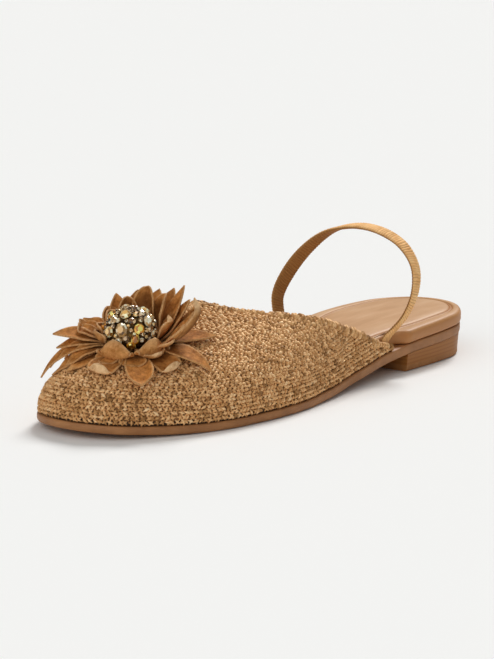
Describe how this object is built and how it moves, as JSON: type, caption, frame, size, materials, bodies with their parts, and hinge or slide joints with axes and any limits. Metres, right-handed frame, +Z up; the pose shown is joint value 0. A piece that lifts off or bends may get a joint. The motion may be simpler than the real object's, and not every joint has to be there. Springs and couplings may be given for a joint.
{
  "type": "slingback shoe",
  "caption": "Flat slingback shoe: closed crocheted vamp, leather flower with a jewelled centre on the toe, elastic heel strap, wrapped footbed and low stacked heel.",
  "frame": {"origin": "on the floor, at the centre of the shoe's bounding box seen from above", "axes": "+Z up, +Y from the toe to the heel, +X towards the outer side of the foot"},
  "size_m": [0.0834, 0.2503, 0.0628],
  "materials": {
    "outsole": "smooth edge-inked sole leather",
    "heel_block": "stacked leather, polished",
    "heel_top_piece": "matt",
    "footbed": "smooth tan lining leather",
    "upper": "crocheted metallic raffia",
    "slingback_strap": "ruched elastic",
    "petals": "waxed, with raw edges",
    "jewels": "faceted stones in gilt settings"
  },
  "bodies": {
    "root": {"outsole": "outsole", "heel_block": "heel_block", "heel_top_piece": "heel_top_piece", "footbed": "footbed", "upper": "upper", "slingback_strap": "slingback_strap", "petals_lower": "petals", "petals_upper": "petals", "petals_cup": "petals", "jewel_cluster": "jewels"}
  },
  "joints": []
}
